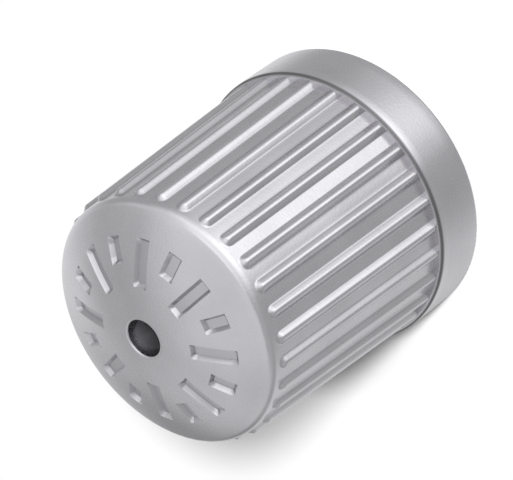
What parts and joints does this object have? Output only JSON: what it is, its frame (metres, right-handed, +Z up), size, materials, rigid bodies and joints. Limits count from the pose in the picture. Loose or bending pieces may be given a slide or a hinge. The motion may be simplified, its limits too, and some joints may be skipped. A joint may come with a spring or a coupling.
{
  "type": "tyre valve cap",
  "caption": "Screw-on cap for a tyre valve stem: ribbed tapered barrel on a plain rim, domed face with a drilled centre, threaded bore and a rubber sealing washer inside.",
  "frame": {"origin": "centre of the open end, in the plane of the rim that the cap stands on", "axes": "+Z up the cap's axis, from the open end to the domed face; +X through the middle of one rib"},
  "size_m": [0.01, 0.01, 0.0114],
  "materials": {
    "satin_metal": "satin",
    "black_rubber": "matte"
  },
  "bodies": {
    "root": {"cap_body": "satin_metal", "sealing_washer": "black_rubber"}
  },
  "joints": []
}
